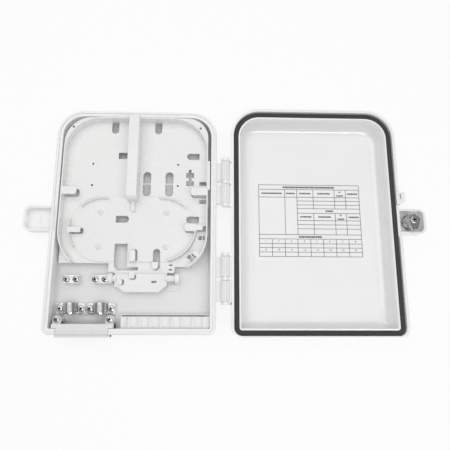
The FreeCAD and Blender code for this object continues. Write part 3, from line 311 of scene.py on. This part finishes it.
# Nodes whose own shade differs from the rest of their slot: painted shade, darker copies of their slot's
# finish
paintedShadeFinish = {
    # painted shade: the lid's plastic made darker on the base, for the shade inside the box
    "base_housing": mouldedPlastic("whiteBaseShaded", (0.835, 0.835, 0.831), 0.01, 0.22, 0.03),
    # painted shade: the lock steel made darker on the cam
    "lock_cam": platedSteel("camSteelShaded", (0.62, 0.62, 0.625), 0.16, (10, 1, 1)),
    # painted shade: the housing plastic made darker on the entry clamp
    "cable_entry_clamp": mouldedPlastic("whiteEntryShaded", (0.82, 0.82, 0.816), 0.01, 0.24, 0.03),
}
# Painted shade by height on the base's plastic
paleRim(paintedShadeFinish["base_housing"])
print("materials made,", len(finish) + len(paintedShadeFinish))


# A node's lowest and highest corners, mm
def nodeBox(node):
    return [np.array(corner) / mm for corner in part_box(node)]


# All points of a mesh as rows of x, y and z, m
def meshPoints(mesh):
    points = np.empty(len(mesh.vertices) * 3)
    mesh.vertices.foreach_get("co", points)
    return points.reshape(-1, 3)


def mergePoints(mesh, distance):
    work = bmesh.new()
    work.from_mesh(mesh)
    bmesh.ops.remove_doubles(work, verts=work.verts, dist=distance)
    work.to_mesh(mesh)
    work.free()


def shadeFaces(mesh, smooth):
    mesh.polygons.foreach_set("use_smooth", [smooth] * len(mesh.polygons))


# A wall of some thickness in mm; an offset of 0 spreads it to both sides, -1 puts it behind the faces
def thicken(piece, name, thickness, offset):
    wall = piece.modifiers.new(name, "SOLIDIFY")
    wall.thickness = thickness * mm
    wall.offset = offset


# Quads over a grid of points; a closed direction joins its last row to its first
def gridFaces(rows, columns, closeRows=False, closeColumns=False):
    index = np.arange(rows * columns).reshape(rows, columns)
    if closeRows:
        index = np.vstack([index, index[:1]])
    if closeColumns:
        index = np.hstack([index, index[:, :1]])
    corners = [index[:-1, :-1], index[1:, :-1], index[1:, 1:], index[:-1, 1:]]
    return np.stack(corners, -1).reshape(-1, 4)


samePlace = 1e-6            # m; points nearer than this are joined


# A mesh from whole arrays of points (mm) and faces, with coincident points joined
def meshPiece(name, points, faces, recess=None):
    mesh = bpy.data.meshes.new(name)
    places = np.asarray(points).reshape(-1, 3) * mm
    mesh.from_pydata(places.tolist(), [], np.asarray(faces).tolist())
    if recess is not None:
        depths = mesh.attributes.new("recess", "FLOAT", "POINT")
        depths.data.foreach_set("value", recess.ravel().astype(np.float32))
    mergePoints(mesh, samePlace)
    shadeFaces(mesh, True)
    return mesh


# An object on a node's body, with the node's finish or one of its own
def placePiece(name, mesh, node, own=None):
    piece = addObject(name, mesh)
    mesh.materials.clear()
    mesh.materials.append(own or finish[slotOf[node]])
    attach(piece, bodyOf[node])
    return piece


# Edge radius of each moulded or stamped piece, mm
edgeSet = {
    "base_housing": 0.35,
    "lid_cover": 0.35,
    "fibre_tray": 0.3,
    "splice_cassette": 0.65,
    "fibre_channel": 0.5,
    "drop_cable_comb": 0.3,
    "cable_entry_clamp": 0.35,
    "cable_entry_seal": 0.2,
    "strength_clamp_left": 0.2,
    "strength_clamp_right": 0.2,
    "lock_cam": 0.6,
    "lock_nut": 0.7,
    "lock_sleeve": 0.5,
    "lock_core": 0.15,
}
bevelSet = {
    "merge": 2e-6,          # m
    "segments": 2,
    "leastAngle": 32,       # degrees; flatter edges stay as they are
    "faceWeight": 100,      # how far large faces keep their own shading
}


# A merged copy of a CAD node whose sharp edges are rounded by a small bevel
def softenedNode(node, radius):
    mesh = nodes[node].data.copy()
    mesh.name = node + "Soft"
    mergePoints(mesh, bevelSet["merge"])
    shadeFaces(mesh, True)
    piece = placePiece(node + "Soft", mesh, node)
    mesh.materials[0] = paintedShadeFinish.get(node, finish[slotOf[node]])
    bevel = piece.modifiers.new("edgeRound", "BEVEL")
    bevel.width = radius * mm
    bevel.segments = bevelSet["segments"]
    bevel.limit_method = "ANGLE"
    bevel.angle_limit = math.radians(bevelSet["leastAngle"])
    bevel.use_clamp_overlap = False
    bevel.loop_slide = False
    bevel.miter_outer = "MITER_ARC"
    flatten = piece.modifiers.new("flatFaces", "WEIGHTED_NORMAL")
    flatten.mode = "FACE_AREA"
    flatten.weight = bevelSet["faceWeight"]
    flatten.keep_sharp = True
    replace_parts(piece, node)
    return piece


# Comb: its lower and right-hand faces move out by the play left in the base, so that it looks pressed in
combSet = {"node": "drop_cable_comb", "play": 0.33, "near": 0.1}    # mm


# Points nearer than a small distance to the lower or right side of the comb's box move by the play
def seatComb(mesh):
    low, high = [np.array(corner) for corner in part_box(combSet["node"])]
    play = combSet["play"] * mm
    near = combSet["near"] * mm
    points = meshPoints(mesh)
    points[:, 1] -= play * (points[:, 1] < low[1] + near)
    points[:, 0] += play * (points[:, 0] > high[0] - near)
    mesh.vertices.foreach_set("co", points.ravel())


for nodeName, edgeRadius in edgeSet.items():
    softPiece = softenedNode(nodeName, edgeRadius)
    if nodeName == combSet["node"]:
        seatComb(softPiece.data)
print("softened copies made,", len(edgeSet))


# Gasket: a rounded section carried round the seal line
gasketSet = {
    "halfHeight": 134.5,    # of the seal line, mm
    "cornerTop": 29.4,
    "cornerLow": 6.2,
    "lineSteps": 24,
    "half": 2.65,           # of the section's width
    "topRound": 1.2,
    "lowRound": 0.4,
    "sectionSteps": 6,
}


# Points and outward normals round a rectangle: quarter arcs about the four corner centres, joined up
def roundedLoop(middle, halfW, halfH, topR, lowR, steps):
    turn = np.linspace(0, math.pi / 2, steps) + np.arange(4)[:, None] * math.pi / 2
    normal = np.stack([np.cos(turn), np.sin(turn)], -1)
    radius = np.array([topR, topR, lowR, lowR])[:, None]
    side = np.array([[1, 1], [-1, 1], [-1, -1], [1, -1]])
    centre = np.asarray(middle) + side * (np.array([halfW, halfH]) - radius)
    loop = centre[:, None, :] + radius[:, :, None] * normal
    return loop.reshape(-1, 2), normal.reshape(-1, 2)


# Each point is the seal line's point moved out along its normal by the section's width, up by its height
def makeGasket():
    low, high = nodeBox("lid_gasket")
    middle = (low + high) / 2
    halfSize = (high - low) / 2
    sealWidth = halfSize[0] - (halfSize[1] - gasketSet["halfHeight"])
    line, normal = roundedLoop(middle[:2], sealWidth, gasketSet["halfHeight"],
                               gasketSet["cornerTop"], gasketSet["cornerLow"], gasketSet["lineSteps"])
    section = roundedLoop((0, middle[2]), gasketSet["half"], halfSize[2],
                          gasketSet["topRound"], gasketSet["lowRound"], gasketSet["sectionSteps"])[0]
    flat = line[:, None, :] + section[None, :, :1] * normal[:, None, :]
    tall = np.broadcast_to(section[None, :, 1:], flat.shape[:2] + (1,))
    faces = gridFaces(len(line), len(section), True, True)
    mesh = meshPiece("gasketBand", np.concatenate([flat, tall], -1), faces)
    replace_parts(placePiece("gasketBand", mesh, "lid_gasket"), "lid_gasket")


# Screws: a pan head with a cross recess on a plain shank; seat heights in mm, turns in degrees
screwSet = {
    "strength_clamp_screws": {"seat": 13.0, "turns": (20, 50, -15, 35)},
    "saddle_clamp_screws": {"seat": 9.2, "turns": (10, 60, 30, -20)},
    "cable_entry_screws": {"seat": 21.3, "turns": (40, 15)},
    "cam_screw": {"seat": 33.5, "turns": (8,)},
}
headSet = {
    "height": 2.6,          # mm
    "crown": 0.45,          # how far the top falls from its middle to its rim
    "edge": 0.9,            # radius of the rounded edge
    "shank": 1.9,           # radius
    "shankLength": 5.0,
    "apart": 1.0,           # least gap between two screws along X
    "armLength": 0.56,      # shares of the head's radius
    "armWidth": 0.15,
    "armTaper": 0.35,       # share of the width lost towards the rim
    "armSlope": 0.3,        # share of the width taken by the arm's sloping sides
    "armFade": 0.35,        # mm over which the arm's end rises
    "recess": 1.5,          # depth in the middle
    "recessRise": 0.6,      # share of the depth lost towards the rim
    "recessShadeDepth": 0.6,      # depth at which the recess is fully darkened by painted shade
    "topSlack": 0.01,       # how far under the crown's rim a point still counts as the top
    "topSteps": 30,
    "edgeSteps": 7,
    "roundSteps": 96,
}


# Middles of the screws in a node, left to right: its points fall into clumps along X, parted by gaps
def screwMiddles(node):
    points = meshPoints(nodes[node].data) / mm
    points = points[np.argsort(points[:, 0])]
    breaks = np.flatnonzero(np.diff(points[:, 0]) > headSet["apart"]) + 1
    clumps = np.split(points[:, :2], breaks)
    return np.array([(clump.min(0) + clump.max(0)) / 2 for clump in clumps])


# Radius and height down a screw: a crowned top, a rounded edge, the side, the underside, the shank
def screwOutline(radius):
    edge = headSet["edge"]
    shank = headSet["shank"]
    tip = -headSet["shankLength"]
    bend = np.linspace(0, math.pi / 2, headSet["edgeSteps"])[1:]
    top = np.linspace(0, radius - edge, headSet["topSteps"])
    crown = headSet["crown"] * (top / (radius - edge)) ** 2
    rim = headSet["height"] - headSet["crown"]
    r = [top, radius - edge + edge * np.sin(bend), [radius, shank, shank, 0]]
    z = [headSet["height"] - crown, rim - edge * (1 - np.cos(bend)), [0, 0, tip, tip]]
    return np.concatenate(r), np.concatenate(z)


# The outline turned about each centre; the top sinks near two crossed lines, less towards their ends
def makeScrews(node, seat, turns):
    low, high = nodeBox(node)
    radius = (high[1] - low[1]) / 2
    places = screwMiddles(node)
    r, z = screwOutline(radius)
    angle = np.linspace(0, 2 * math.pi, headSet["roundSteps"], endpoint=False)
    out = r[None, :, None]
    share = out / radius
    own = angle[None, :] + np.radians(turns)[:, None]
    across = np.minimum(np.abs(np.cos(own)), np.abs(np.sin(own)))[:, None, :] * out
    width = headSet["armWidth"] * radius * (1 - headSet["armTaper"] * share)
    inArm = np.clip((width - across) / (headSet["armSlope"] * width) + 0.5, 0, 1)
    reach = np.clip((headSet["armLength"] * radius - out) / headSet["armFade"], 0, 1)
    onTop = (z > headSet["height"] - headSet["crown"] - headSet["topSlack"])[None, :, None]
    deep = headSet["recess"] * (1 - headSet["recessRise"] * share) * inArm * reach * onTop
    x = places[:, 0, None, None] + out * np.cos(angle)
    y = places[:, 1, None, None] + out * np.sin(angle)
    tall = seat + z[None, :, None] - deep
    one = gridFaces(len(r), len(angle), False, True)
    starts = np.arange(len(turns)) * len(r) * len(angle)
    faces = (one[None] + starts[:, None, None]).reshape(-1, 4)
    # Painted shade: the deeper a point of the cross recess, the darker it is drawn
    recessPaintedShade = np.clip(deep / headSet["recessShadeDepth"], 0, 1)
    mesh = meshPiece(node + "Cross", np.stack([x, y, tall], -1), faces, recessPaintedShade)
    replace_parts(placePiece(node + "Cross", mesh, node), node)


# Saddle clamps: a strap bent up over the cable, its ends rounded, mm
saddleSet = {
    "thick": 1.2,
    "foot": 8.0,            # height of the foot's underside
    "axis": 10.2,           # height of the arch's centre
    "archR": 7.6,           # to the middle of the strap
    "bend": 1.5,            # radius between foot and arch
    "round": 6.5,           # radius of the corners at the strap's ends
    "edge": 0.25,
    "edgeSegments": 2,
    "edgeLeast": 50,        # degrees; flatter edges stay as they are
    "endSteps": 14,
    "bendSteps": 9,
    "archSteps": 17,
    "acrossSteps": 7,
}


# Side view: flat foot, fillet, half arch, mirrored; each point carried across by half the strap's width
def makeSaddle(node):
    low, high = nodeBox(node)
    middle = (low + high) / 2
    reach, half = (high - low)[:2] / 2
    level = saddleSet["foot"] + saddleSet["thick"] / 2
    bend = saddleSet["bend"]
    archR = saddleSet["archR"]
    axis = max(saddleSet["axis"], level + bend)
    swing = np.linspace(0, math.pi / 2, saddleSet["endSteps"])
    turn = np.linspace(-math.pi / 2, 0, saddleSet["bendSteps"])[1:]
    rise = np.linspace(math.pi, math.pi / 2, saddleSet["archSteps"])
    inset = saddleSet["round"] * (1 - np.cos(swing))
    endHalf = half - saddleSet["round"] * (1 - np.sin(swing))
    footEnd = -archR - bend
    x = np.concatenate([inset - reach, [footEnd], bend * np.cos(turn) + footEnd, archR * np.cos(rise)])
    fillet = bend * np.sin(turn) + level + bend
    z = np.concatenate([0 * inset + level, [level], fillet, archR * np.sin(rise) + axis])
    width = np.concatenate([endHalf, np.full(len(x) - len(inset), half)])
    x = np.concatenate([x, -x[-2::-1]])
    z = np.concatenate([z, z[-2::-1]])
    width = np.concatenate([width, width[-2::-1]])
    across = np.linspace(1, -1, saddleSet["acrossSteps"])
    sides = middle[1] + width[:, None] * across
    points = np.stack(np.broadcast_arrays(middle[0] + x[:, None], sides, z[:, None]), -1)
    mesh = meshPiece(node + "Strap", points, gridFaces(len(x), len(across)))
    piece = placePiece(node + "Strap", mesh, node)
    thicken(piece, "strapThickness", saddleSet["thick"], 0)
    edge = piece.modifiers.new("strapEdge", "BEVEL")
    edge.width = saddleSet["edge"] * mm
    edge.segments = saddleSet["edgeSegments"]
    edge.angle_limit = math.radians(saddleSet["edgeLeast"])
    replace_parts(piece, node)


# Label: a film stuck in the lid, printed with an empty table for two groups of lines and sixteen ports
labelSet = {
    "node": "lid_cover",
    "level": 2.4,           # of the lid's floor above the lid's lowest point, mm
    "left": 152.9,          # printed area
    "top": 49.7,
    "width": 129.1,
    "height": 92.6,
    "margin": 5.5,
    "corner": 2.0,
    "cornerSteps": 6,
    "film": 0.1,
    "filmRings": 4,
    "ink": 0.05,
    "under": 0.01,          # the columns and words lie this much under the rows
    "rule": 0.6,            # width of a printed line
    "columns": (33.3, 48.8, 69.7, 97.2, 111.6),     # from the left side, rows from the top
    "fullRows": (0, 6.0, 64.8, 70.4, 92.6),
    "leftRows": (16.2,),
    "rightRows": (16.2, 21.1, 26.2, 31.1, 37.1, 46.6, 52.0, 57.3),
    "upperGroup": (6.0, 31.1),      # where the columns of a group start and stop
    "lowerGroup": (37.1, 64.8),
    "portTop": 70.4,
    "portRows": (76.4, 81.5, 87.0),
    "portsInRow": 8,
    "digit": 3.7,           # size of the numbers
    "digitCurve": 3,        # steps in each of their curves
}
# Blank word bars, mm
wordSet = {
    "beat": (1.0, 0.62, 0.85, 1.2, 0.55, 0.95, 0.7, 1.1),   # lengths of the blocks, as shares
    "block": 1.6,           # mean length of a block
    "gap": 0.35,
    "bars": (               # middle across, middle down, length, height
        (64.3, 3.1, 67.0, 2.3), (16.6, 11.2, 26.0, 1.9), (40.9, 11.2, 11.5, 1.9), (59.3, 11.2, 14.5, 1.9),
        (83.6, 11.2, 16.5, 1.9), (104.4, 8.9, 2.6, 1.9), (104.4, 13.9, 8.8, 1.9), (120.6, 11.3, 13.6, 1.9),
        (90.0, 34.2, 9.8, 2.1), (59.6, 41.8, 14.5, 1.9), (83.8, 41.8, 16.5, 1.9), (104.4, 39.4, 2.6, 1.9),
        (104.4, 44.5, 8.8, 1.9), (120.8, 41.9, 13.4, 1.9), (64.5, 67.7, 29.5, 2.2),
    ),
}
# Paper and ink: each has its tone, the tone's spread, its gloss and how fine its grain is
printSet = {
    "paper": ((0.92, 0.92, 0.92), 0.01, 0.4, 60),
    "ink": ((0.05, 0.05, 0.052), 0.2, 0.6, 400),
    "detail": 3,
    "glossSpread": (-0.05, 0.05),
}


# Printed film and ink: an off-white sheet and a dull dark grey, both a little uneven
def printFinish(name, tone, spread, gloss, scale):
    material, tree, shader = newMaterial(name)
    grain = objectNoise(tree, scale, printSet["detail"])
    tree.links.new(toneRamp(tree, grain, tone, 1 - spread, 1 + spread), shader.inputs["Base Color"])
    linkGloss(tree, shader, grain, gloss, printSet["glossSpread"])
    return material


# Four corners of each strip, from rows of left, right, top and bottom as measured from the label's corner
def stripCorners(strips, level):
    strips = np.concatenate(strips)
    x = labelSet["left"] + strips[:, [0, 1, 1, 0]]
    y = labelSet["top"] - strips[:, [3, 3, 2, 2]]
    return np.stack([x, y, np.full(x.shape, level)], -1)


# Strips half a rule each side of a line that runs across at each height, or down at each distance
def ruleStrips(places, start, stop, down):
    places = np.asarray(places, float)
    half = labelSet["rule"] / 2
    ends = [np.full(len(places), start - half), np.full(len(places), stop + half)]
    sides = [places - half, places + half]
    return np.stack(sides + ends if down else ends + sides, -1)


# Rows across the whole table, its left part, its right part and the ports
def tableRows():
    width = labelSet["width"]
    split = labelSet["columns"][1]
    return [ruleStrips(labelSet["fullRows"], 0, width, False),
            ruleStrips(labelSet["leftRows"], 0, split, False),
            ruleStrips(labelSet["rightRows"], split, width, False),
            ruleStrips(labelSet["portRows"], 0, width, False)]


# Lines down the sides, the left columns, the right columns of each group and the ports
def tableColumns():
    width, height = labelSet["width"], labelSet["height"]
    upper, lower = labelSet["upperGroup"], labelSet["lowerGroup"]
    columns = labelSet["columns"]
    ports = np.arange(1, labelSet["portsInRow"]) * width / labelSet["portsInRow"]
    return [ruleStrips((0, width), 0, height, True),
            ruleStrips(columns[:2], upper[0], lower[1], True),
            ruleStrips(columns[2:], upper[0], upper[1], True),
            ruleStrips(columns[2:], lower[0], lower[1], True),
            ruleStrips(ports, labelSet["portTop"], height, True)]


# A word bar broken into blocks: block lengths follow a fixed uneven beat, with narrow gaps between them
def wordStrips(across, down, length, height):
    count = max(1, round(length / wordSet["block"]))
    share = np.resize(wordSet["beat"], count)
    stops = np.cumsum(share) / share.sum() * length
    starts = np.concatenate([[0], stops[:-1]])
    left = across - length / 2
    rows = np.full(count, down)
    ends = [left + starts, left + stops - wordSet["gap"]]
    return np.stack(ends + [rows - height / 2, rows + height / 2], -1)


# A number as a flat mesh, its middle put at a place on the label
def digitMesh(number, across, down, level):
    curve = bpy.data.curves.new("digit", "FONT")
    curve.body = str(number)
    curve.size = labelSet["digit"] * mm
    curve.align_x = "CENTER"
    curve.align_y = "CENTER"
    curve.resolution_u = labelSet["digitCurve"]
    holder = addObject("digit", curve)
    mesh = bpy.data.meshes.new_from_object(holder)
    bpy.data.objects.remove(holder)
    place = ((labelSet["left"] + across) * mm, (labelSet["top"] - down) * mm, level * mm)
    mesh.transform(Matrix.Translation(place))
    return mesh


# The film's outline drawn in towards its middle by even shares, as rings of one flat sheet
def makeFilm(level):
    width, height, margin = labelSet["width"], labelSet["height"], labelSet["margin"]
    corner = labelSet["corner"]
    middle = np.array([labelSet["left"] + width / 2, labelSet["top"] - height / 2])
    rim = roundedLoop(middle, width / 2 + margin, height / 2 + margin,
                      corner, corner, labelSet["cornerSteps"])[0]
    share = np.linspace(0, 1, labelSet["filmRings"])[:, None, None]
    sheet = middle + share * (rim - middle)
    points = np.concatenate([sheet, np.full(sheet.shape[:2] + (1,), level)], -1)
    mesh = meshPiece("labelFilm", points, gridFaces(len(sheet), len(rim), False, True))
    shadeFaces(mesh, False)
    paper = printFinish("labelPaper", *printSet["paper"])
    thicken(placePiece("labelFilm", mesh, labelSet["node"], paper), "filmThickness", labelSet["film"], -1)


# One mesh of all rows, columns and word bars as flat strips, then the port numbers in two lines
def makePrint(level):
    words = [wordStrips(*bar) for bar in wordSet["bars"]]
    corners = np.concatenate([stripCorners(tableRows(), level),
                              stripCorners(tableColumns() + words, level - labelSet["under"])])
    mesh = meshPiece("labelPrint", corners, np.arange(len(corners) * 4).reshape(-1, 4))
    ports = labelSet["portsInRow"]
    first, second, third = labelSet["portRows"]
    lines = ((labelSet["portTop"] + first) / 2, (second + third) / 2)
    work = bmesh.new()
    work.from_mesh(mesh)
    for index in range(ports * len(lines)):
        line, column = divmod(index, ports)
        across = (column + 0.5) * labelSet["width"] / ports
        work.from_mesh(digitMesh(index + 1, across, lines[line], level))
    work.to_mesh(mesh)
    work.free()
    shadeFaces(mesh, False)
    ink = printFinish("labelInk", *printSet["ink"])
    thicken(placePiece("labelPrint", mesh, labelSet["node"], ink), "inkThickness", labelSet["ink"], -1)


makeGasket()
filmTop = nodeBox(labelSet["node"])[0][2] + labelSet["level"] + labelSet["film"]
makeFilm(filmTop)
makePrint(filmTop + labelSet["ink"])
for nodeName, sizes in screwSet.items():
    makeScrews(nodeName, sizes["seat"], sizes["turns"])
for nodeName in ("saddle_clamp_left", "saddle_clamp_right"):
    makeSaddle(nodeName)
print("gasket, label, screws and saddles made")

# The carried CAD nodes get the finish of their slot too
for nodeName, nodeObject in nodes.items():
    nodeObject.data.materials.clear()
    nodeObject.data.materials.append(finish[slotOf[nodeName]])


# Floor: white paper, part of it aglow for the camera, gloss and glass, so that the shadow on it stays faint
floorSet = {
    "half": 3.0,            # m
    "drop": 0.5,            # mm under the part
    "paper": (0.95, 0.95, 0.95, 1),
    "dull": 0.9,
    "glow": 0.86,
}


def makeFloor():
    half = floorSet["half"]
    mesh = bpy.data.meshes.new("floor")
    corners = [(-half, -half, 0), (half, -half, 0), (half, half, 0), (-half, half, 0)]
    mesh.from_pydata(corners, [], [(0, 1, 2, 3)])
    floor = addObject("floor", mesh)
    floor.location.z = -floorSet["drop"] * mm
    material, tree, shader = newMaterial("floorPaper")
    shader.inputs["Base Color"].default_value = floorSet["paper"]
    shader.inputs["Roughness"].default_value = floorSet["dull"]
    path = tree.nodes.new("ShaderNodeLightPath").outputs
    mirrored = mathNode(tree, "MAXIMUM", path["Is Glossy Ray"], path["Is Transmission Ray"])
    seen = mathNode(tree, "MAXIMUM", path["Is Camera Ray"], mirrored)
    glow = tree.nodes.new("ShaderNodeEmission")
    glow.inputs["Color"].default_value = (1, 1, 1, 1)
    glow.inputs["Strength"].default_value = 1.0
    mix = tree.nodes.new("ShaderNodeMixShader")
    tree.links.new(mathNode(tree, "MULTIPLY", seen, floorSet["glow"]), mix.inputs[0])
    tree.links.new(shader.outputs["BSDF"], mix.inputs[1])
    tree.links.new(glow.outputs["Emission"], mix.inputs[2])
    tree.links.new(mix.outputs["Shader"], tree.nodes["Material Output"].inputs["Surface"])
    mesh.materials.append(material)


makeFloor()
print("floor made")
